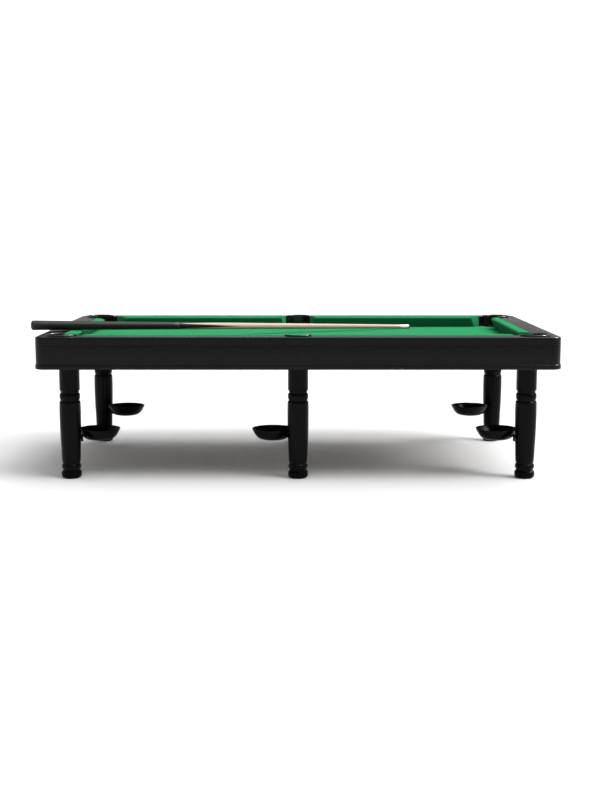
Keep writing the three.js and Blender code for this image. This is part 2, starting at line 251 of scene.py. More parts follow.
def turned(profile, centre=(0, 0, 0), axis=(0, 0, 1), *, segments):
    """A profile of (radius, height) rows turned once round an axis through centre."""
    axis = np.asarray(axis, float)
    axis = axis / np.linalg.norm(axis)
    side = np.cross(axis, (0, 0, 1)) if abs(axis[2]) < 0.9 else np.array([1.0, 0, 0])
    side = side / np.linalg.norm(side)
    up = np.cross(side, axis)
    angle = np.linspace(0, 2 * math.pi, segments + 1)
    spoke = np.cos(angle)[:, None] * side + np.sin(angle)[:, None] * up
    profile = np.asarray(profile, float)
    points = profile[:, 0, None, None] * spoke + profile[:, 1, None, None] * axis
    shell = grid_shell(points + np.asarray(centre, float))
    around = np.broadcast_to(np.linspace(0, 1, segments + 1), points.shape[:2])
    along = np.broadcast_to(profile[:, 1:2], points.shape[:2])
    shell["uv"] = np.stack([around, along], axis=-1).reshape(-1, 2)
    return shell


def carried(section, place, stations, round_end, steps):
    """A closed section carried from t = 0 to t = 1. Near each end the section shrinks by
    round_end * (1 - sin a) while it moves on by round_end * (1 - cos a), which rounds the end."""
    angle = np.linspace(0, math.pi / 2, steps + 1)
    shrink = round_end * (1 - np.sin(angle))
    shift = round_end * (1 - np.cos(angle))
    rows = [(0.0, s, i) for s, i in zip(shift, shrink)]
    rows += [(t, 0.0, 0.0) for t in np.linspace(0, 1, stations)[1:-1]]
    rows += [(1.0, -s, i) for s, i in zip(shift[::-1], shrink[::-1])]
    grid = [closed(place(inset(section, i) if i else section, t, s)) for t, s, i in rows]
    return grid_shell(np.stack(grid), caps=(0, len(grid) - 1))


def mirrored(shell, sx, sy):
    """The shell with its x and y multiplied by signs."""
    return {**shell, "points": shell["points"] * np.array([sx, sy, 1.0])}


def moved(shell, x=0.0, y=0.0, z=0.0):
    """The shell carried along the axes."""
    return {**shell, "points": shell["points"] + np.array([x, y, z])}


# ---- pieces ----
def shell_mesh(name, points, faces):
    """A mesh from rows of points and lists of corners."""
    mesh = bpy.data.meshes.new(name)
    mesh.from_pydata(points.tolist(), [], faces)
    return mesh


def seal(mesh):
    """Merges a mesh's doubled points and turns its faces outwards."""
    build = bmesh.new()
    build.from_mesh(mesh)
    bmesh.ops.remove_doubles(build, verts=build.verts, dist=1e-6)
    bmesh.ops.recalc_face_normals(build, faces=build.faces)
    build.to_mesh(mesh)
    build.free()


def piece(name, shells, finish, body="table", nodes=(), crease=32):
    """One object from closed shells: seams merged, faces outwards, smooth but for edges sharper
    than crease, riding on its body and standing for its CAD nodes."""
    shells = shells if isinstance(shells, list) else [shells]
    start = 0
    faces = []
    for shell in shells:
        faces += [[corner + start for corner in face] for face in shell["faces"]]
        start += len(shell["points"])
    points = np.concatenate([shell["points"] for shell in shells]) + np.array([TABLE_X, 0, 0])
    uv = np.concatenate([shell["uv"] for shell in shells])
    mesh = shell_mesh(name, points, faces)
    corner = np.empty(len(mesh.loops), np.int32)
    mesh.loops.foreach_get("vertex_index", corner)
    layer = mesh.uv_layers.new(name="UVMap")
    layer.data.foreach_set("uv", uv[corner].astype(np.float32).ravel())
    seal(mesh)
    mesh.shade_smooth()
    mesh.set_sharp_from_angle(angle=math.radians(crease))
    mesh.materials.append(finish)
    made = added(name, mesh)
    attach(made, body)
    if nodes:
        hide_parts(*nodes)
    return made


def board(name, shell, finish):
    """One lacquered board of the table, which stands for the CAD node of that name."""
    piece(f"{name}_board", shell, finish, nodes=[name])


def carve(target, shell):
    """Takes a closed shell's space away from a piece, and keeps the result as the piece's mesh."""
    mesh = shell_mesh("carver", shell["points"] + np.array([TABLE_X, 0, 0]), shell["faces"])
    seal(mesh)
    tool = added("carver", mesh)
    cut = target.modifiers.new("cut", "BOOLEAN")
    cut.operation = "DIFFERENCE"
    cut.solver = "EXACT"
    cut.object = tool
    graph = bpy.context.evaluated_depsgraph_get()
    result = bpy.data.meshes.new_from_object(target.evaluated_get(graph))
    target.modifiers.remove(cut)
    target.data = result
    result.name = target.name
    bpy.data.objects.remove(tool)


# ---- finishes ----
def add_node(tree, kind, inputs=(), **settings):
    """A node with its settings, its inputs set to values or linked from other nodes."""
    made = tree.nodes.new(kind)
    for key, value in settings.items():
        setattr(made, key, value)
    for socket, value in dict(inputs).items():
        if isinstance(value, bpy.types.NodeSocket):
            tree.links.new(value, made.inputs[socket])
        else:
            made.inputs[socket].default_value = value
    return made


def spread(tree, value, low, high, to_low, to_high, **settings):
    """value carried from the range low..high to the range to_low..to_high, and held there."""
    inputs = {"Value": value, "From Min": low, "From Max": high, "To Min": to_low, "To Max": to_high}
    return add_node(tree, "ShaderNodeMapRange", inputs, **settings).outputs[0]


def grey(level):
    return (level, level, level)


def scaled(values, factor):
    return tuple(factor * value for value in values)


class Finish:
    """A node material: its shader, and short ways to add the nodes that feed it."""

    def __init__(self, name, color, roughness, **sockets):
        self.material = bpy.data.materials.new(name)
        self.material.use_nodes = True
        self.tree = self.material.node_tree
        self.shader = self.tree.nodes["Principled BSDF"]
        self.set("Base Color", (*color, 1))
        self.set("Roughness", roughness)
        for socket, value in sockets.items():
            self.set(socket.replace("_", " "), value)

    def set(self, socket, value):
        self.shader.inputs[socket].default_value = value

    def link(self, value, socket):
        self.tree.links.new(value, self.shader.inputs[socket])

    def node(self, kind, inputs=(), **settings):
        return add_node(self.tree, kind, inputs, **settings)

    def place(self, stretch=(1, 1, 1), source="Object"):
        """Object coordinates in metres, or the UV map, stretched along each axis."""
        coordinate = self.node("ShaderNodeTexCoord").outputs[source]
        return self.node("ShaderNodeMapping", {"Vector": coordinate, "Scale": stretch}).outputs[0]

    def noise(self, where, scale, detail, rough=0.5):
        inputs = {"Vector": where, "Scale": scale, "Detail": detail, "Roughness": rough}
        return self.node("ShaderNodeTexNoise", inputs).outputs["Fac"]

    def wave(self, where, scale, distortion, direction, detail_scale=1.0):
        inputs = {"Vector": where, "Scale": scale, "Distortion": distortion, "Detail Scale": detail_scale}
        return self.node("ShaderNodeTexWave", inputs, bands_direction=direction).outputs["Fac"]

    def math(self, operation, a, b):
        return self.node("ShaderNodeMath", {0: a, 1: b}, operation=operation).outputs[0]

    def spread(self, value, low, high, to_low=0.0, to_high=1.0):
        return spread(self.tree, value, low, high, to_low, to_high)

    def blend(self, share, first, second):
        """Colour first where share is 0, second where it is 1."""
        made = self.node("ShaderNodeMix", {"Factor": share}, data_type="RGBA")
        for socket, value in ((made.inputs[6], first), (made.inputs[7], second)):
            if isinstance(value, bpy.types.NodeSocket):
                self.tree.links.new(value, socket)
            else:
                socket.default_value = (*value, 1)
        return made.outputs[2]

    def bump(self, height, distance, strength, under=None):
        inputs = {"Height": height, "Distance": distance, "Strength": strength}
        if under is not None:
            inputs["Normal"] = under
        return self.node("ShaderNodeBump", inputs).outputs[0]

    def done(self, color, normal, roughness=None):
        """The material, with what feeds its colour, its bumps and its roughness."""
        self.link(color, "Base Color")
        self.link(normal, "Normal")
        if roughness is not None:
            self.link(roughness, "Roughness")
        return self.material


def lacquer(name, color, worn, roughness, specular):
    """Satin black lacquer: a faint orange peel, rubbed patches that are duller, and fine dust."""
    made = Finish(name, color, roughness, Specular_IOR_Level=specular)
    where = made.place()
    patches = made.noise(where, 3.1, 4.0, 0.6)
    dust = made.spread(made.noise(where, 420.0, 2.0), 0.62, 0.78)
    tone = made.blend(made.spread(patches, 0.45, 0.75), color, worn)
    tone = made.blend(made.math("MULTIPLY", dust, 0.25), tone, scaled(worn, 3))
    scuffs = made.spread(made.noise(made.place((1, 1, 9)), 26.0, 5.0, 0.65), 0.35, 0.7, -0.015, 0.025)
    dull = made.spread(patches, 0.3, 0.7, roughness - 0.03, roughness + 0.05)
    peel = made.bump(made.noise(where, 260.0, 1.0), 0.000012, 0.3)
    return made.done(tone, peel, made.math("ADD", dull, scuffs))


def cloth(name, color, shade):
    """Worsted cloth: crossing yarns half a millimetre apart, a brushed nap along the table, and
    paler dusty patches. The finest fuzz is the shader's sheen."""
    made = Finish(name, color, 0.9, Specular_IOR_Level=0.02, Sheen_Weight=0.015, Sheen_Roughness=0.5)
    made.set("Sheen Tint", (0.55, 1.0, 0.75, 1))
    warp = made.wave(made.place(), 300.0, 0.6, "X")
    weft = made.wave(made.place(), 300.0, 0.6, "Y")
    upright = made.wave(made.place(), 300.0, 0.6, "Z")
    weave = made.math("ADD", made.math("MULTIPLY", warp, weft), made.math("MULTIPLY", upright, 0.35))
    nap = made.noise(made.place((5, 90, 90)), 4.0, 4.0, 0.6)
    dusty = made.spread(made.noise(made.place(), 2.3, 5.0, 0.62), 0.48, 0.8, 0.0, 0.3)
    fibre = made.noise(made.place(), 900.0, 2.0, 0.6)
    tone = made.blend(made.spread(nap, 0.3, 0.7, 0.0, 0.5), color, shade)
    tone = made.blend(made.spread(fibre, 0.35, 0.7, 0.0, 0.35), tone, scaled(shade, 0.72))
    chalk = tuple(0.7 * c + 0.3 * g for c, g in zip(color, (0.20, 0.42, 0.30)))
    threads = made.bump(weave, 0.00012, 0.5)
    return made.done(made.blend(dusty, tone, chalk), made.bump(fibre, 0.0001, 0.35, threads))


def moulded(name, color, roughness, specular=0.5, grain=0.00004):
    """Black moulded plastic: a fine pebbled skin, flow marks, and rub marks that are shinier."""
    made = Finish(name, color, roughness, Specular_IOR_Level=specular)
    flow = made.noise(made.place((1, 1, 4)), 14.0, 5.0, 0.6)
    tone = made.blend(made.spread(flow, 0.45, 0.8), color, scaled(color, 1.9))
    dull = made.spread(flow, 0.3, 0.75, roughness - 0.06, roughness + 0.08)
    pebbles = made.bump(made.noise(made.place(), 700.0, 1.0), grain, 0.6)
    return made.done(tone, pebbles, dull)


def timber(name, pale, dark, stretch):
    """Sawn wood: growth rings as a bent wave across the grain, pores, and a few darker streaks."""
    made = Finish(name, pale, 0.66, Specular_IOR_Level=0.35)
    scale = 5.0
    where = made.place(stretch)
    rings = made.wave(where, scale, 6.0, "DIAGONAL", 1.4)
    pores = made.noise(made.place(scaled(stretch, 12)), scale * 2, 4.0, 0.65)
    streak = made.noise(where, scale * 0.4, 3.0)
    tone = made.blend(made.spread(rings, 0.2, 0.95), pale, dark)
    tone = made.blend(made.spread(pores, 0.55, 0.75, 0.0, 0.6), tone, scaled(dark, 0.55))
    tone = made.blend(made.spread(streak, 0.5, 0.8, 0.0, 0.4), tone, dark)
    return made.done(tone, made.bump(made.math("ADD", pores, rings), 0.0002, 0.4))


def slate_stone():
    """Ground slate: bluish grey, faint bedding streaks and tiny pits."""
    made = Finish("slate", (0.062, 0.070, 0.078), 0.72, Specular_IOR_Level=0.3)
    beds = made.noise(made.place((1, 1, 14)), 6.0, 6.0, 0.6)
    pits = made.noise(made.place(), 260.0, 2.0)
    tone = made.blend(made.spread(beds, 0.3, 0.7), (0.048, 0.054, 0.062), (0.095, 0.102, 0.108))
    tone = made.blend(made.spread(pits, 0.6, 0.75, 0.0, 0.5), tone, (0.03, 0.033, 0.037))
    return made.done(tone, made.bump(pits, 0.0002, 0.6))


def coated_steel(name, color, roughness, metallic, specular=0.5):
    """Steel under a thin speckled coat; bare steel where the coat's colour is light."""
    made = Finish(name, color, roughness, Metallic=metallic, Specular_IOR_Level=specular)
    speckle = made.noise(made.place(), 520.0, 3.0, 0.6)
    tone = made.blend(made.spread(speckle, 0.55, 0.8), color, scaled(color, 2.2))
    dull = made.spread(speckle, 0.3, 0.7, roughness - 0.05, roughness + 0.1)
    return made.done(tone, made.bump(speckle, 0.00008, 0.6), dull)


def foot_rubber():
    """Black painted foot, dull and a little scuffed near the floor."""
    black = grey(0.0009)
    made = Finish("foot_black", black, 0.30, Specular_IOR_Level=0.05)
    height = made.node("ShaderNodeSeparateXYZ", {0: made.place()}).outputs[2]
    scuff = made.noise(made.place((1, 1, 5)), 90.0, 5.0, 0.7)
    low = made.math("MULTIPLY", made.spread(height, 0.0, 0.016, 1.0, 0.0), made.spread(scuff, 0.45, 0.7))
    tone = made.blend(low, black, (0.007, 0.0067, 0.0063))
    dull = made.spread(scuff, 0.35, 0.7, 0.36, 0.52)
    return made.done(tone, made.bump(scuff, 0.00006, 0.4), dull)


def cue_wood(name, pale, dark, roughness, spliced):
    """Turned cue wood with a clear coat. The grain runs along the cue, on the UV map: u once
    round, v the distance from the butt. Where spliced, four dark points run up the pale wood,
    dark wherever v is below a line that rises and falls four times round the cue."""
    made = Finish(name, pale, roughness, Specular_IOR_Level=0.16)
    grain = made.noise(made.place((26, 1.6, 1), "UV"), 9.0, 5.0, 0.6)
    fleck = made.noise(made.place((90, 14, 1), "UV"), 9.0, 3.0, 0.6)
    tone = made.blend(made.spread(grain, 0.35, 0.72), pale, dark)
    tone = made.blend(made.spread(fleck, 0.6, 0.75, 0.0, 0.35), tone, scaled(dark, 0.6))
    if spliced:
        split = made.node("ShaderNodeSeparateXYZ", {0: made.place((1, 1, 1), "UV")})
        turn = made.math("MULTIPLY_ADD", split.outputs[0], 4.0)
        turn.node.inputs[2].default_value = 0.5
        peak = made.math("MULTIPLY", made.math("PINGPONG", turn, 0.5), 2.0)
        edge = made.math("MULTIPLY_ADD", peak, SPLICE_END - CUE_JOINT)
        edge.node.inputs[2].default_value = CUE_JOINT
        below = made.math("SUBTRACT", edge, split.outputs[1])
        veneer = made.math("COMPARE", below, 0.004)
        veneer.node.inputs[2].default_value = 0.004
        tone = made.blend(made.spread(below, 0.007, 0.009), tone, (0.012, 0.010, 0.009))
        tone = made.blend(veneer, tone, (0.30, 0.16, 0.07))
    return made.done(tone, made.bump(fleck, 0.00003, 0.3))


def tip_leather():
    """Pressed leather, chalked on its end."""
    leather = (0.10, 0.06, 0.035)
    made = Finish("tip_leather", leather, 0.8, Specular_IOR_Level=0.2)
    layers = made.noise(made.place((1, 1, 1), "UV"), 900.0, 4.0, 0.6)
    tone = made.blend(made.spread(layers, 0.4, 0.7), leather, (0.16, 0.15, 0.17))
    return made.done(tone, made.bump(layers, 0.0002, 0.5))


CABINET_BLACK = lacquer("cabinet_black", grey(0.0019), grey(0.0023), 0.28, 0.14)
RAIL_BLACK = lacquer("rail_black", grey(0.0019), grey(0.0023), 0.28, 0.14)
LEG_BLACK = lacquer("leg_black", grey(0.0017), (0.0023, 0.0023, 0.0022), 0.22, 0.065)
CLOTH = cloth("worsted_green", (0.022, 0.312, 0.108), (0.018, 0.275, 0.094))
POCKET_BLACK = moulded("pocket_black", (0.0050, 0.0052, 0.0055), 0.24)
DISH_BLACK = moulded("dish_black", (0.0012, 0.0012, 0.0013), 0.20, 0.09)
SLATE = slate_stone()
BEAM_PINE = timber("beam_pine", (0.40, 0.26, 0.125), (0.24, 0.135, 0.055), (1, 9, 9))
CROSS_PINE = timber("cross_pine", (0.38, 0.245, 0.12), (0.23, 0.13, 0.052), (9, 1, 9))
BRACKET_BLACK = coated_steel("bracket_black", grey(0.010), 0.42, 0.0, 0.35)
SCREW_STEEL = coated_steel("screw_steel", (0.32, 0.32, 0.33), 0.32, 1.0)
FOOT_BLACK = foot_rubber()
BUTT_WOOD = cue_wood("butt_wood", (0.0110, 0.0108, 0.0105), (0.015, 0.0135, 0.012), 0.38, False)
SHAFT_WOOD = cue_wood("shaft_maple", (0.62, 0.52, 0.37), (0.52, 0.41, 0.27), 0.30, True)
FERRULE_WHITE = moulded("ferrule_white", (0.78, 0.77, 0.73), 0.25)
BUMPER_BLACK = moulded("bumper_black", grey(0.008), 0.6, 0.3, 0.0001)
RING_BLACK = coated_steel("ring_black", (0.020, 0.018, 0.016), 0.35, 0.0, 0.4)
TIP_LEATHER = tip_leather()


# ---- cabinet: straight aprons and round corners, a bead along the foot ----
BEAD_HEIGHT = 0.027
BEAD_PROUD = 0.004
BEAD_ROUND = 0.008


def apron_section():
    """The apron's section as (distance out, height): a flat board, and a bead whose lower and
    upper edges are quarter ellipses, BEAD_PROUD deep and BEAD_ROUND high."""
    angle = np.linspace(0, math.pi / 2, 9)
    low_z = CABINET_BOTTOM + BEAD_ROUND
    high_z = CABINET_BOTTOM + BEAD_HEIGHT - BEAD_ROUND
    low = np.stack([BEAD_PROUD * np.sin(angle), low_z - BEAD_ROUND * np.cos(angle)], axis=1)
    high = np.stack([BEAD_PROUD * np.cos(angle), high_z + BEAD_ROUND * np.sin(angle)], axis=1)
    ease = 0.0003
    top = eased(
        [(0, high_z + 0.05), (0, APRON_TOP, ease), (-APRON_THICKNESS, APRON_TOP, ease),
         (-APRON_THICKNESS, CABINET_BOTTOM, ease), (-0.001, CABINET_BOTTOM)],
        closed=False,
    )
    return np.concatenate([low, high, top])


def make_cabinet():
    """Four straight aprons and four corners, the section carried along a line or a quarter turn."""
    section = apron_section()
    straight_x = HALF_LENGTH - CORNER_RADIUS - GAP / 2
    straight_y = HALF_WIDTH - CORNER_RADIUS - GAP / 2

    def along_x(rows, t, shift):
        x = (2 * t - 1) * straight_x + shift
        return np.column_stack([np.full(len(rows), x), HALF_WIDTH + rows[:, 0], rows[:, 1]])

    def along_y(rows, t, shift):
        y = (2 * t - 1) * straight_y + shift
        return np.column_stack([HALF_LENGTH + rows[:, 0], np.full(len(rows), y), rows[:, 1]])

    def round_corner(rows, t, shift):
        slack = GAP / 2 / CORNER_RADIUS
        angle = slack + t * (math.pi / 2 - 2 * slack) + shift / CORNER_RADIUS
        radius = CORNER_RADIUS + rows[:, 0]
        x = HALF_LENGTH - CORNER_RADIUS + radius * math.cos(angle)
        y = HALF_WIDTH - CORNER_RADIUS + radius * math.sin(angle)
        return np.column_stack([x, y, rows[:, 1]])

    seam = 0.0003
    for side, sy in SIDES:
        shell = mirrored(carried(section, along_x, 9, seam, 2), 1, sy)
        board(f"{side}_apron", shell, CABINET_BLACK)
    for end, sx in ENDS:
        shell = mirrored(carried(section, along_y, 7, seam, 2), sx, 1)
        board(f"{end}_apron", shell, CABINET_BLACK)
    for name, sx, sy in QUARTERS:
        shell = mirrored(carried(section, round_corner, 33, seam, 2), sx, sy)
        board(f"{name}_corner_apron", shell, CABINET_BLACK)


# ---- rail caps ----
RAIL_EDGE = 0.009  # rounding of the outer edge
RAIL_EASE = 0.0012  # of the edge beside the cushion


def rail_levels():
    """Heights and insets of a rail cap: a narrow part between the aprons, then the full width
    from the aprons' top up, with a round outer edge and a slightly eased inner one."""
    under = APRON_THICKNESS + GAP
    base = BED_TOP + GAP
    shelf = APRON_TOP + GAP
    rows = [
        ((under + 0.0005, 0.0005, 0.0002), base),
        ((under, 0, 0), base + 0.0005),
        ((under, 0, 0), shelf),
        ((0.0002, 0, 0), shelf),
        ((0, 0, 0), shelf + 0.0002),
    ]
    easing = np.array([RAIL_EDGE, RAIL_EASE, GAP])
    for a in np.linspace(0, math.pi / 2, 8):
        rows.append((easing * (1 - math.cos(a)), RAIL_TOP - easing * (1 - math.sin(a))))
    kinds = ("outer", "inner", "butt")
    return [dict(zip(kinds, zip(insets, np.broadcast_to(z, 3)))) for insets, z in rows]


def notch_angle(pocket, x=None, y=None):
    """Bearings at which a pocket's notch crosses the line at x or at y, in degrees."""
    radius = pocket["wall"] + NOTCH
    if y is not None:
        across = math.degrees(math.asin((y - pocket["y"]) / radius))
        return across, 180 - across
    along = math.degrees(math.acos((x - pocket["x"]) / radius))
    return along, -along


def mitre_point(radius, centre, offset):
    """The bearing, between 0 and 90, where a circle crosses the mitre line x - y = offset."""
    away = (offset - (centre[0] - centre[1])) / (radius * math.sqrt(2))
    return math.degrees(math.acos(np.clip(away, -1, 1))) - 45


def make_rails():
    """Six flat caps, each a plan outline with its own insets for outer, inner and butting edges."""
    corner = (CORNER_POCKET["x"], CORNER_POCKET["y"])
    notch = CORNER_POCKET["wall"] + NOTCH
    side_notch = SIDE_POCKET["wall"] + NOTCH
    round_at = (HALF_LENGTH - CORNER_RADIUS, HALF_WIDTH - CORNER_RADIUS)
    mitre = RAIL_INNER_X - RAIL_INNER_Y
    corner_in = 0.010  # a point this far in from an outer corner keeps its rounding local

    def towards(first, second, distance):
        way = second - first
        return first + way / np.linalg.norm(way) * distance

    def outline_of(parts):
        """Outline and edge kinds from [(kind, rows)]: a row's kind is its following edge's."""
        outline = np.concatenate([rows for _, rows in parts])
        kinds = [kind for kind, rows in parts for _ in rows]
        return outline, kinds

    # Long sides: from the side pocket to the corner, for the right rear quarter, then mirrored.
    start_x = GAP / 2
    first = math.degrees(math.acos(start_x / side_notch))
    last = notch_angle(SIDE_POCKET, y=RAIL_INNER_Y)[0]
    side_arc = arc((0, SIDE_POCKET["y"]), side_notch, first, last, 24)
    far = notch_angle(CORNER_POCKET, y=RAIL_INNER_Y)[1]
    long_mitre = mitre - GAP
    corner_arc = arc(corner, notch, far, mitre_point(notch, corner, long_mitre), 30)
    outer_arc = arc(round_at, CORNER_RADIUS, mitre_point(CORNER_RADIUS, round_at, long_mitre), 90, 14)
    top_left = np.array([[start_x, HALF_WIDTH]])
    outline, kinds = outline_of([
        ("inner", side_arc[:-1]),
        ("inner", side_arc[-1:]),
        ("inner", corner_arc[:-1]),
        ("butt", corner_arc[-1:]),
        ("butt", towards(outer_arc[0], corner_arc[-1], corner_in)[None]),
        ("outer", outer_arc),
        ("butt", top_left),
        ("butt", towards(top_left[0], side_arc[0], corner_in)[None]),
    ])
    long_cap = stack(outline, kinds, rail_levels())
    for name, sx, sy in QUARTERS:
        board(f"{name}_rail_cap", mirrored(long_cap, sx, sy), RAIL_BLACK)

    # Ends: from the front corner pocket to the rear one, for the right end, then mirrored.
    near = notch_angle(CORNER_POCKET, x=RAIL_INNER_X)[1]
    rear_arc = arc(corner, notch, near, mitre_point(notch, corner, mitre), 30)
    outer = arc(round_at, CORNER_RADIUS, mitre_point(CORNER_RADIUS, round_at, mitre), 0, 14)
    flip = np.array([1, -1])
    outline, kinds = outline_of([
        ("outer", (outer * flip)[:-1]),
        ("outer", (outer * flip)[-1:]),
        ("outer", outer[::-1][:-1]),
        ("butt", outer[:1]),
        ("butt", towards(outer[0], rear_arc[-1], corner_in)[None]),
        ("inner", rear_arc[::-1]),
        ("inner", (rear_arc * flip)[:-1]),
        ("butt", (rear_arc * flip)[-1:]),
        ("butt", towards(outer[0] * flip, rear_arc[-1] * flip, corner_in)[None]),
    ])
    end_cap = stack(outline, kinds, rail_levels())
    for end, sx in ENDS:
        board(f"{end}_rail_cap", mirrored(end_cap, sx, 1), RAIL_BLACK)


# ---- cushions: rubber under taut cloth, undercut below the nose ----
CUSHION_CROWN = 0.006
JAW_ALONG = 0.062
CORNER_MOUTH_X = 0.115
CORNER_MOUTH_Y = 0.120
SIDE_MOUTH_FRONT = 0.110
SIDE_MOUTH_BACK = 0.079


def cushion_section(crown):
    """(distance outboard of the nose, height): a round nose, a top that swells by the crown before
    a tucked seam beside the rail, and a face that leans back to the bed."""
    foot = BED_TOP + GAP
    return eased([
        (0.028, foot, 0.0015),
        (0.066, foot, 0.0008),
        (0.066, RAIL_TOP - 0.0036, 0.0005),
        (0.0645, RAIL_TOP - 0.0034, 0.0005),
        (0.0632, RAIL_TOP - 0.0015, 0.0011),
        (0.054, RAIL_TOP - 0.0015 + crown, 0.010),
        (0.034, RAIL_TOP - 0.0017 + crown, 0.020),
        (0.006, RAIL_TOP - 0.0038 + 1.1 * crown, 0.009),
        (0.0, RAIL_TOP - 0.0105 + 0.8 * crown, 0.004),
        (0.0025, RAIL_TOP - 0.0165 + 0.6 * crown, 0.006),
    ], steps=6)


def make_cushions():
    """The section carried between slanted jaws, whose places change with the distance outboard."""
    section = cushion_section(CUSHION_CROWN)
    under_cue = cushion_section(0.0)  # the cue lies across the left one and keeps it flat
    facing_round = 0.0028

    def made(name, shell):
        cushion = piece(f"{name}_cloth", shell, CLOTH, nodes=[name], crease=40)

    def long_run(rows, t, shift):
        share = rows[:, 0] / CUSHION_DEPTH
        near = SIDE_MOUTH_FRONT + (SIDE_MOUTH_BACK - SIDE_MOUTH_FRONT) * share
        far = NOSE_X - CORNER_MOUTH_X + JAW_ALONG * share
        x = near + (far - near) * t + shift
        return np.column_stack([x, NOSE_Y + rows[:, 0], rows[:, 1]])

    def end_run(rows, t, shift):
        reach = NOSE_Y - CORNER_MOUTH_Y + JAW_ALONG * rows[:, 0] / CUSHION_DEPTH
        y = (2 * t - 1) * reach + shift
        return np.column_stack([NOSE_X + rows[:, 0], y, rows[:, 1]])

    for name, sx, sy in QUARTERS:
        shell = mirrored(carried(section, long_run, 41, facing_round, 5), sx, sy)
        made(f"{name}_cushion", shell)
    for end, sx in ENDS:
        shape = under_cue if end == "left" else section
        shell = mirrored(carried(shape, end_run, 41, facing_round, 5), sx, 1)
        made(f"{end}_cushion", shell)


# ---- bed: three slates under one cloth ----
def bed_outline(x0, x1):
    """The bed's plan between x0 and x1, with a round notch at each pocket it reaches. The rear
    edge is walked from x1 to x0 and the front edge is its mirror image, walked back."""
    corner = (CORNER_POCKET["x"], CORNER_POCKET["y"])
    notch = CORNER_POCKET["wall"] + NOTCH
    enter = notch_angle(CORNER_POCKET, x=SLATE_HALF_LENGTH)[1]
    leave = notch_angle(CORNER_POCKET, y=SLATE_HALF_WIDTH)[1] - 360
    corner_arc = arc(corner, notch, enter, leave, 56)
    rows, kinds = [], []

    def walk(kind, points):
        rows.append(points)
        kinds.extend([kind] * (len(points) - 1) + ["side"])

    if x1 >= SLATE_HALF_LENGTH:
        walk("pocket", corner_arc)
    else:
        walk("side", np.array([[x1, SLATE_HALF_WIDTH]]))
    if x0 < 0 < x1:
        wide = notch_angle(SIDE_POCKET, y=SLATE_HALF_WIDTH)
        side_notch = SIDE_POCKET["wall"] + NOTCH
        walk("pocket", arc((0, SIDE_POCKET["y"]), side_notch, wide[0], wide[1] - 360, 52))
    if x0 <= -SLATE_HALF_LENGTH:
        walk("pocket", corner_arc[::-1] * np.array([-1, 1]))
    else:
        walk("side", np.array([[x0, SLATE_HALF_WIDTH]]))
    rear = np.concatenate(rows)
    front = rear[::-1] * np.array([1, -1])
    front_kinds = kinds[:-1][::-1] + ["side"]
    return np.concatenate([rear, front]), kinds + front_kinds


def make_bed():
    """Three slates side by side, and one cloth stretched over them."""
    width = 2 * SLATE_HALF_LENGTH / 3
    for i, name in enumerate(("left", "middle", "right")):
        x0 = -SLATE_HALF_LENGTH + i * width + (GAP / 2 if i > 0 else 0)
        x1 = -SLATE_HALF_LENGTH + (i + 1) * width - (GAP / 2 if i < 2 else 0)
        outline, kinds = bed_outline(x0, x1)
        levels = slab_levels(SLATE_BOTTOM, SLATE_TOP, 0.0012, ("side", "pocket"))
        shell = stack(outline, kinds, levels)
        piece(f"{name}_slate_slab", shell, SLATE, nodes=[f"{name}_slate"])

    # The cloth lies flat and turns down into each pocket between the slate and the liner.
    lip = 0.0014  # how far the turned edge stands inside the notch
    drop = 0.007
    under = SLATE_TOP + GAP
    roll = 0.0022  # rounding of the cloth into a pocket
    ease = 0.0006  # and at its outer edge
    rows = [
        {"side": (0.0, under), "pocket": (0.0004, under)},
        {"side": (0.0, under), "pocket": (-0.0001, under - 0.0006)},
        {"side": (0.0, under), "pocket": (-0.0001, BED_TOP - drop)},
        {"side": (0.0, under), "pocket": (-lip, BED_TOP - drop)},
    ]
    for a in np.linspace(0, math.pi / 2, 6):
        cos, sin = 1 - math.cos(a), 1 - math.sin(a)
        rows.append({
            "side": (ease * cos, BED_TOP - ease * sin),
            "pocket": (-lip + roll * cos, BED_TOP - roll * sin),
        })
    outline, kinds = bed_outline(-SLATE_HALF_LENGTH, SLATE_HALF_LENGTH)
    shell = stack(outline, kinds, rows)
    bed = piece("playing_cloth", shell, CLOTH, nodes=["bed_cloth"], crease=45)
    bed.visible_diffuse = False  # so that it throws no green up onto the cue and the rails


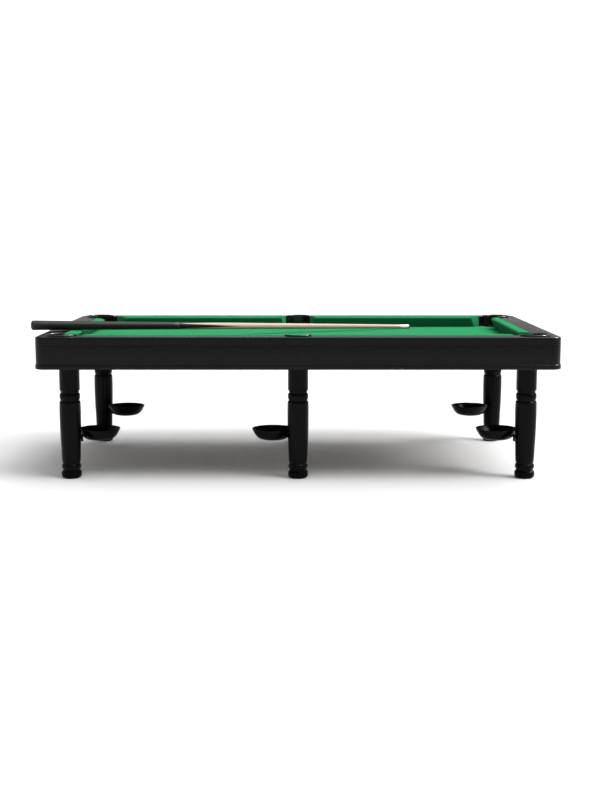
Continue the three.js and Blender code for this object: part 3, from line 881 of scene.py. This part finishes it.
# ---- pockets: a drop cup below the bed and a raised rim round its back ----
def make_pockets():
    """Each cup is a turned profile. Each rim's section is carried round the back of the pocket, from
    the cushion on one side to the cushion on the other."""
    rim_top = RAIL_TOP + GAP + RIM_RISE
    places = [(*quarter, CORNER_POCKET) for quarter in QUARTERS]
    places += [(f"{side}_middle", 0, sy, SIDE_POCKET) for side, sy in SIDES]
    for name, sx, sy, pocket in places:
        wall, rim = pocket["wall"], pocket["rim"]
        inner = wall - POCKET_WALL
        cup = turned(eased([
            (0, POCKET_FLOOR),
            (wall - 0.030, POCKET_FLOOR, 0.004),
            (wall - 0.026, POCKET_FLOOR + 0.002, 0.004),
            (wall, POCKET_FLOOR + 0.008, 0.012),
            (wall, SLATE_TOP, 0.0012),
            (inner, SLATE_TOP, 0.0012),
            (inner, POCKET_FLOOR + 0.0125, 0.014),
            (0.020, POCKET_FLOOR + POCKET_WALL, 0.020),
            (0, POCKET_FLOOR + POCKET_WALL),
        ], closed=False, steps=6), segments=72)
        section = eased([
            (wall, SLATE_TOP + GAP, 0.0004),
            (wall, RAIL_TOP + GAP, 0.0002),
            (rim, RAIL_TOP + GAP, 0.0008),
            (rim, rim_top, 0.0034),
            (inner, rim_top, 0.0062),
            (inner, SLATE_TOP + GAP, 0.0004),
        ], steps=7)
        to_x = RAIL_INNER_X + GAP - pocket["x"]
        to_y = RAIL_INNER_Y + GAP - pocket["y"]

        def round_back(rows, t, shift):
            radius = rows[:, 0]
            if sx:
                start = -np.arccos(to_x / radius)
            else:
                start = np.arcsin(to_y / radius)
            end = math.pi - np.arcsin(to_y / radius)
            angle = start + (end - start) * t + shift / radius
            return np.column_stack([radius * np.cos(angle), radius * np.sin(angle), rows[:, 1]])

        rim_shell = carried(section, round_back, 97, 0.0016, 4)
        place = {"x": (sx or 1) * pocket["x"], "y": sy * pocket["y"]}
        node = f"{name}_pocket"
        cup_shell = moved(cup, **place)
        rim_shell = moved(mirrored(rim_shell, sx or 1, sy), **place)
        piece(f"{name}_drop_cup", cup_shell, POCKET_BLACK, nodes=[node])
        piece(f"{name}_pocket_rim", rim_shell, POCKET_BLACK, nodes=[node])


# ---- legs and feet ----
FOOT_HEIGHT = 0.044
NECK_RADIUS = 0.0493  # where leg and foot meet


def leg_profile():
    """(radius, height) up the turned leg, from the bore for the foot's stud: a ring and a slim
    waist above the foot, a long swelling body, then two grooves and a band under the shoulder."""
    return np.concatenate([
        [(0, 0.106), (0.0085, 0.106), (0.0085, FOOT_HEIGHT + GAP)],
        eased([
            (0.0485, FOOT_HEIGHT + GAP),
            (NECK_RADIUS, FOOT_HEIGHT + 2 * GAP, 0.0005),
            (NECK_RADIUS, 0.0530, 0.003),
            (0.0541, 0.0600, 0.005),
            (0.0553, 0.0680, 0.009),
            (0.0538, 0.0775, 0.005),
            (0.0492, 0.0835, 0.003),
            (0.0500, 0.0900, 0.004),
            (0.0522, 0.0960, 0.010),
            (0.0544, 0.1290, 0.060),
            (0.0557, 0.1760, 0.200),
            (0.0581, 0.2220, 0.400),
            (0.0606, 0.3100, 0.600),
            (0.0613, 0.3750, 0.300),
            (0.0608, 0.4190, 0.120),
            (0.0600, 0.4400, 0.006),
            (0.0545, 0.4475, 0.002),
            (0.0545, 0.4540, 0.003),
            (0.0578, 0.4610, 0.005),
            (0.0590, 0.4740, 0.010),
            (0.0575, 0.4860, 0.005),
            (0.0522, 0.4925, 0.003),
            (0.0522, 0.5020, 0.003),
            (0.0581, 0.5110, 0.005),
            (0.0581, 0.6560, 0.500),
            (0.0581, LEG_TOP, 0.001),
            (0.0560, LEG_TOP),
        ], closed=False, steps=6),
        [(0, LEG_TOP)],
    ])


def foot_profile():
    """(radius, height): a flat sole, a turned bun, and a threaded stud whose radius ripples once
    every thread."""
    stud = 0.008
    stud_top = 0.098
    bun = eased([
        (0, 0),
        (0.044, 0.0, 0.003),
        (0.0520, 0.0045, 0.006),
        (0.0563, 0.0130, 0.008),
        (0.0573, 0.0215, 0.012),
        (0.0573, 0.0320, 0.008),
        (0.0550, 0.0390, 0.005),
        (NECK_RADIUS + 0.0006, FOOT_HEIGHT - 0.0012, 0.003),
        (NECK_RADIUS - 0.0014, FOOT_HEIGHT, 0.0006),
        (stud, FOOT_HEIGHT),
    ], closed=False, steps=5)
    height = np.linspace(FOOT_HEIGHT + 0.0004, stud_top - 0.002, 150)
    pitch = 0.002
    thread = stud - 0.0005 + 0.0004 * np.abs(((height / pitch) % 1) * 2 - 1)
    stem = np.stack([thread, height], axis=1)
    return np.concatenate([bun, stem, [(stud - 0.002, stud_top), (0, stud_top)]])


def make_legs():
    """A leg and its foot at each of six places, both turned once."""
    leg = leg_profile()
    foot = foot_profile()
    for side, sy in SIDES:
        for place, x in LEG_PLACES.items():
            centre = (x, sy * LEG_Y, 0)
            name = f"{side}_{place}_leg"
            shell = turned(leg, centre, segments=96)
            piece(f"{side}_{place}_turned_leg", shell, LEG_BLACK, "table", [name], 50)
            name = f"{side}_{place}_foot"
            shell = turned(foot, centre, segments=72)
            piece(f"{side}_{place}_bun_foot", shell, FOOT_BLACK, name, [name])


# ---- frame under the slates ----
def make_beams():
    """Two long beams above the legs, and three cross beams between them."""
    bottom = LEG_TOP + GAP
    top = SLATE_BOTTOM - GAP
    ease = 0.0025
    half = BEAM_WIDTH / 2
    for side, sy in SIDES:
        outline = rectangle(-BEAM_HALF_LENGTH, BEAM_HALF_LENGTH, sy * BEAM_Y - half, sy * BEAM_Y + half)
        shell = slab(outline, bottom, top, ease)
        node = f"{side}_frame_beam"
        piece(f"{side}_frame_joist", shell, BEAM_PINE, nodes=[node])
    reach = BEAM_Y - half - GAP
    for place, x in LEG_PLACES.items():
        outline = rectangle(x - half, x + half, -reach, reach)
        shell = slab(outline, bottom, top, ease)
        node = f"{place}_cross_beam"
        piece(f"{place}_cross_joist", shell, CROSS_PINE, nodes=[node])


def bolt(x, y, z):
    """A hexagon bolt head on its washer, hanging below z."""
    radius = 0.012
    low = z - 0.002
    profile = [(0, z), (radius, z, 0.0004), (radius, low, 0.0006), (0, low)]
    washer = turned(eased(profile, closed=False, steps=2), (x, y, 0), segments=28)
    hexagon = arc((x, y), 0.0085, 0, 300, 5)
    head = slab(hexagon, z - 0.0082, z - 0.0019, 0.0008)
    return [washer, head]


def make_bolts():
    """Two bolts through each long beam beside every leg."""
    beside = 0.085
    for side, sy in SIDES:
        shells = []
        for x in LEG_PLACES.values():
            for step in (-1, 1):
                shells += bolt(x + step * beside, sy * BEAM_Y, LEG_TOP + GAP)
        piece(f"{side}_beam_bolts", shells, SCREW_STEEL, crease=30)


# ---- dishes, each on a pin that stands on a bracket beside a leg ----
DISH_RADIUS = 0.121
DISH_RIM = 0.269
DISH_FLOOR = 0.203
DISH_WALL = 0.003
PIN_FROM_LEG = 0.085
DISH_FROM_PIN = 0.108
# Bearings in degrees: the pin's from the leg, and the dish's from the pin off the pin's own. The
# rear dishes hang lower than the front ones by their drop. leg is the leg's radius at the bracket.
FRONT_DISH = {"pin": 55.0, "fold": -30.0, "drop": 0.0, "leg": 0.0583}
REAR_DISH = {"pin": 17.5, "fold": 22.5, "drop": 0.016, "leg": 0.0570}
BRACKET_BOTTOM = 0.200
BRACKET_TOP = 0.2115
BRACKET_HALF = 0.010
HUB_RADIUS = 0.010
HUB_BORE = 0.0045
HUB_BORE_TOP = 0.2295
HUB_TOP = 0.238
PIN_RADIUS = 0.004
SCREW_TURN = 0.2  # radians round the leg, either side of the arm
SCREW_HEIGHTS = (BRACKET_TOP + 0.005, BRACKET_TOP + 0.014)
SCREW_DEPTH = 0.0024  # from the leg's face to the heads' feet, just inside the plate
DISHES = (
    ("front_left", 1, 1, FRONT_DISH),
    ("front_middle", -1, 1, FRONT_DISH),
    ("front_right", -1, 1, FRONT_DISH),
    ("rear_left", 1, -1, REAR_DISH),
    ("rear_right", -1, -1, REAR_DISH),
)


def bowl_curve():
    """(radius, height) of the bowl's outside, from the middle of its floor to the rim."""
    return [
        (0, DISH_FLOOR),
        (0.050, DISH_FLOOR, 0.05),
        (0.076, 0.2080, 0.05),
        (0.093, 0.2190, 0.06),
        (0.1045, 0.2350, 0.06),
        (0.1120, 0.2480, 0.06),
        (0.1180, 0.2600, 0.05),
    ]


def bowl_profile():
    """The bowl's wall: its outside, a rolled lip, and its inside, which is the outside moved in
    by the wall's thickness, with a shallow step inside the rim."""
    outside = bowl_curve()
    inside = [
        (0.1152, 0.2610, 0.05),
        (0.1092, 0.2494, 0.06),
        (0.1018, 0.2366, 0.06),
        (0.0909, 0.2212, 0.06),
        (0.0746, 0.2109, 0.05),
        (0.0497, DISH_FLOOR + DISH_WALL, 0.05),
        (0, DISH_FLOOR + DISH_WALL),
    ]
    lip = [(DISH_RADIUS, DISH_RIM, 0.0013), (DISH_RADIUS - DISH_WALL, DISH_RIM, 0.0013)]
    return eased(outside + lip + inside, closed=False, steps=6)


def hub_profile():
    """(radius, height) of the bored hub that turns on the pin."""
    foot = BRACKET_TOP + GAP
    return eased([
        (HUB_BORE, foot, 0.0004),
        (HUB_RADIUS, foot, 0.001),
        (HUB_RADIUS, HUB_TOP, 0.0025),
        (0, HUB_TOP + 0.0003),
        (0, HUB_BORE_TOP),
        (HUB_BORE, HUB_BORE_TOP, 0.0004),
        (HUB_BORE, foot, 0.0002),
    ], closed=False, steps=4)


def pin_profile():
    """(radius, height) of the pin, its riveted head under the bracket."""
    return eased([
        (0, BRACKET_BOTTOM - 0.0022),
        (0.0062, BRACKET_BOTTOM - 0.0018, 0.0016),
        (0.0066, BRACKET_BOTTOM + 0.0004, 0.0004),
        (PIN_RADIUS, BRACKET_BOTTOM + 0.0006, 0.0004),
        (PIN_RADIUS, 0.2280, 0.001),
        (0, 0.2290),
    ], closed=False, steps=4)


def bracket_shells(bearing, leg_here):
    """An arm from the leg to the pin, with a round end, and a curved plate screwed to the leg."""
    way = np.array([math.cos(bearing), math.sin(bearing)])
    across = np.array([-way[1], way[0]])
    root = way * math.sqrt(leg_here ** 2 - BRACKET_HALF ** 2)
    turn = math.degrees(bearing)
    tip = arc(way * PIN_FROM_LEG, BRACKET_HALF, turn - 90, turn + 90, 16)
    outline = np.concatenate([[root - across * BRACKET_HALF], tip, [root + across * BRACKET_HALF]])
    arm = slab(outline, BRACKET_BOTTOM, BRACKET_TOP, 0.0012)
    thick = 0.0026
    low, high = BRACKET_BOTTOM, BRACKET_TOP + 0.020
    section = eased([
        (leg_here, low, 0.0003), (leg_here + thick, low, 0.001),
        (leg_here + thick, high, 0.001), (leg_here, high, 0.0003),
    ], steps=3)
    plate_half = 0.30  # half the plate's reach round the leg, radians

    def round_leg(rows, t, shift):
        angle = bearing + (2 * t - 1) * plate_half + shift / leg_here
        return np.column_stack([rows[:, 0] * math.cos(angle), rows[:, 0] * math.sin(angle), rows[:, 1]])

    return [arm, carried(section, round_leg, 13, 0.001, 2)]


def screw_head(bearing, radius, height):
    """A domed screw head with a dimple, looking outwards from the leg."""
    axis = np.array([math.cos(bearing), math.sin(bearing), 0])
    head = [(0, 0.0), (0.0036, 0.0, 0.0002), (0.0032, 0.0012, 0.0008), (0.0012, 0.0016), (0, 0.0010)]
    start = axis * radius + np.array([0, 0, height])
    return turned(eased(head, closed=False, steps=3), start, axis, segments=20)


def make_dishes():
    """Bowl, hub and pin are profiles turned once. The filled bowl is taken away from the hub, so
    the two meet without overlapping."""
    filled = eased(bowl_curve() + [(DISH_RADIUS, DISH_RIM), (0, DISH_RIM)], closed=False, steps=6)
    for name, mx, my, hang in DISHES:
        side, place = name.split("_")
        y = (-1 if side == "front" else 1) * LEG_Y
        bearing = math.radians(hang["pin"])
        away = bearing + math.radians(hang["fold"])
        pin = PIN_FROM_LEG * np.array([math.cos(bearing), math.sin(bearing)])
        bowl_at = pin + DISH_FROM_PIN * np.array([math.cos(away), math.sin(away)])

        def here(shell):
            return moved(mirrored(shell, mx, my), LEG_PLACES[place], y, -hang["drop"])

        dish = f"{name}_dish"
        bowl = here(turned(bowl_profile(), (*bowl_at, 0), segments=96))
        piece(f"{dish}_bowl", bowl, DISH_BLACK, dish, [dish], 50)
        hub = here(turned(hub_profile(), (*pin, 0), segments=40))
        hub_piece = piece(f"{dish}_hub", hub, DISH_BLACK, dish, [dish])
        carve(hub_piece, here(turned(filled, (*bowl_at, 0), segments=96)))
        bracket = f"{dish}_bracket"
        shells = [here(shell) for shell in bracket_shells(bearing, hang["leg"])]
        piece(f"{name}_bracket_arm", shells, BRACKET_BLACK, nodes=[bracket])
        fixings = [here(turned(pin_profile(), (*pin, 0), segments=28))]
        for turn in (-SCREW_TURN, SCREW_TURN):
            for z in SCREW_HEIGHTS:
                fixings.append(here(screw_head(bearing + turn, hang["leg"] + SCREW_DEPTH, z)))
        piece(f"{name}_bracket_pin", fixings, SCREW_STEEL, nodes=[bracket])


# ---- cue ----
def cue_radius(distance):
    """The radius falls in a straight line from butt to joint and from joint to tip."""
    places = [0, CUE_JOINT, CUE_LENGTH]
    return np.interp(distance, places, [BUTT_RADIUS, JOINT_RADIUS, TIP_RADIUS])


def make_cue():
    """Profiles turned round the line from the butt's end to the tip's end."""
    axis = (CUE_TIP_END - CUE_BUTT_END) / np.linalg.norm(CUE_TIP_END - CUE_BUTT_END)

    def stretch(start, end, rows):
        """A length of the cue between two distances from the butt, its ends eased."""
        ease = 0.0004
        height = np.linspace(start, end, rows)
        line = [(r, h, 0.0) for r, h in zip(cue_radius(height), height)]
        line[0] = (*line[0][:2], ease)
        line[-1] = (*line[-1][:2], ease)
        return eased([(0, start), *line, (0, end)], closed=False, steps=3)

    def part(name, profile, finish, nodes):
        shell = turned(profile, CUE_BUTT_END, axis, segments=64)
        piece(name, shell, finish, "cue", nodes, 30)

    seam = 0.00015
    bumper_end = 0.018
    ring_half = 0.005
    round_butt = 0.010
    bumper = eased([
        (0, 0.0),
        (BUTT_RADIUS - 0.012, 0.0, 0.004),
        (BUTT_RADIUS - 0.0005, round_butt - 0.004, 0.009),
        (cue_radius(bumper_end), bumper_end - seam, 0.0008),
        (0, bumper_end - seam),
    ], closed=False, steps=6)
    part("cue_bumper", bumper, BUMPER_BLACK, ["cue_butt"])
    handle = stretch(bumper_end, CUE_JOINT - ring_half - seam, 30)
    part("cue_handle", handle, BUTT_WOOD, ["cue_butt"])
    ring = stretch(CUE_JOINT - ring_half, CUE_JOINT + ring_half, 3)
    part("cue_joint_ring", ring, RING_BLACK, ["cue_butt", "cue_shaft"])
    shaft = stretch(CUE_JOINT + ring_half + seam, FERRULE_START - seam, 40)
    part("cue_shaft_wood", shaft, SHAFT_WOOD, ["cue_shaft"])
    tip_start = CUE_LENGTH - 0.014
    sleeve = stretch(FERRULE_START, tip_start, 4)
    part("cue_ferrule_sleeve", sleeve, FERRULE_WHITE, ["cue_ferrule"])
    tip = eased([
        (0, tip_start + seam),
        (cue_radius(tip_start) - 0.0002, tip_start + seam, 0.0003),
        (TIP_RADIUS - 0.0002, CUE_LENGTH - 0.004, 0.004),
        (0.006, CUE_LENGTH - 0.0004, 0.006),
        (0, CUE_LENGTH),
    ], closed=False, steps=5)
    part("cue_leather_tip", tip, TIP_LEATHER, ["cue_ferrule"])


# ---- floor and light ----
FLOOR_REACH = 60.0
FLOOR_Z = -0.0004  # just under the feet
SEEN_WHITE = 1.05  # how bright the empty studio looks to the camera

# Name, strength, degrees across, and degrees right and back of straight down.
SUNS = (
    ("right_panel", 1.30, 28, 46, -12),
    ("right_fill", 1.25, 60, 46, -6),
    ("high_right", 0.67, 28, 30, -18),
    ("high_front", 0.40, 28, 2, -30),
    ("overhead", 0.44, 60, 2, 5),
    ("high_back", 0.80, 28, 16, 20),
    ("low_back", 0.34, 28, 16, 38),
)


def make_floor():
    """A wide white floor just under the feet, seen only from above."""
    steps = np.linspace(-FLOOR_REACH, FLOOR_REACH, 9)
    x, y = np.meshgrid(steps, steps)
    shell = grid_shell(np.stack([x, y, np.full_like(x, FLOOR_Z)], axis=-1))
    mesh = shell_mesh("floor", shell["points"], [face[::-1] for face in shell["faces"]])
    floor = added("floor", mesh)
    white = Finish("floor_white", (0.92, 0.92, 0.92), 0.9, Specular_IOR_Level=0.1)
    clear = white.node("ShaderNodeBsdfTransparent").outputs[0]
    back = white.node("ShaderNodeNewGeometry").outputs["Backfacing"]
    chosen = white.node("ShaderNodeMixShader", {0: back, 1: white.shader.outputs[0], 2: clear})
    white.tree.links.new(chosen.outputs[0], white.tree.nodes["Material Output"].inputs[0])
    mesh.materials.append(white.material)


def sun(name, strength, across, right, back, diffuse=True):
    """A distant light, across degrees wide, right and back degrees off straight down. One
    without diffuse light only shows as a highlight on gloss."""
    data = bpy.data.lights.new(name, "SUN")
    data.energy = strength
    data.angle = math.radians(across)
    made = added(name, data)
    made.rotation_euler = (-math.radians(back), math.radians(right), 0)
    made.visible_diffuse = diffuse


def make_world(low, left):
    """White to look at. Its light is soft: a band round the horizon, and more from the left."""
    world = bpy.data.worlds.new("studio")
    bpy.context.scene.world = world
    world.use_nodes = True
    tree = world.node_tree
    background = tree.nodes["Background"]
    way = add_node(tree, "ShaderNodeTexCoord").outputs["Generated"]
    split = add_node(tree, "ShaderNodeSeparateXYZ", {0: way})
    glow = [
        spread(tree, split.outputs[axis], start, end, strength, 0.0, interpolation_type="SMOOTHSTEP")
        for axis, start, end, strength in (("Z", 0.0, 0.5, low), ("X", -0.9, 0.9, left))
    ]
    total = add_node(tree, "ShaderNodeMath", {0: glow[0], 1: glow[1]}, operation="ADD").outputs[0]
    seen = add_node(tree, "ShaderNodeLightPath").outputs["Is Camera Ray"]
    shown = add_node(tree, "ShaderNodeMix", {0: seen, 2: total, 3: SEEN_WHITE}, data_type="FLOAT")
    tree.links.new(shown.outputs[0], background.inputs["Strength"])
    background.inputs["Color"].default_value = (1, 1, 1, 1)


make_cabinet()
make_rails()
make_cushions()
make_bed()
make_pockets()
make_legs()
make_beams()
make_bolts()
make_dishes()
make_cue()
make_floor()
make_world(low=0.46, left=0.34)
for light in SUNS:
    sun(*light)
sun("glint", 7.0, 9, 36, 22, diffuse=False)
bpy.context.scene.view_settings.view_transform = "Standard"
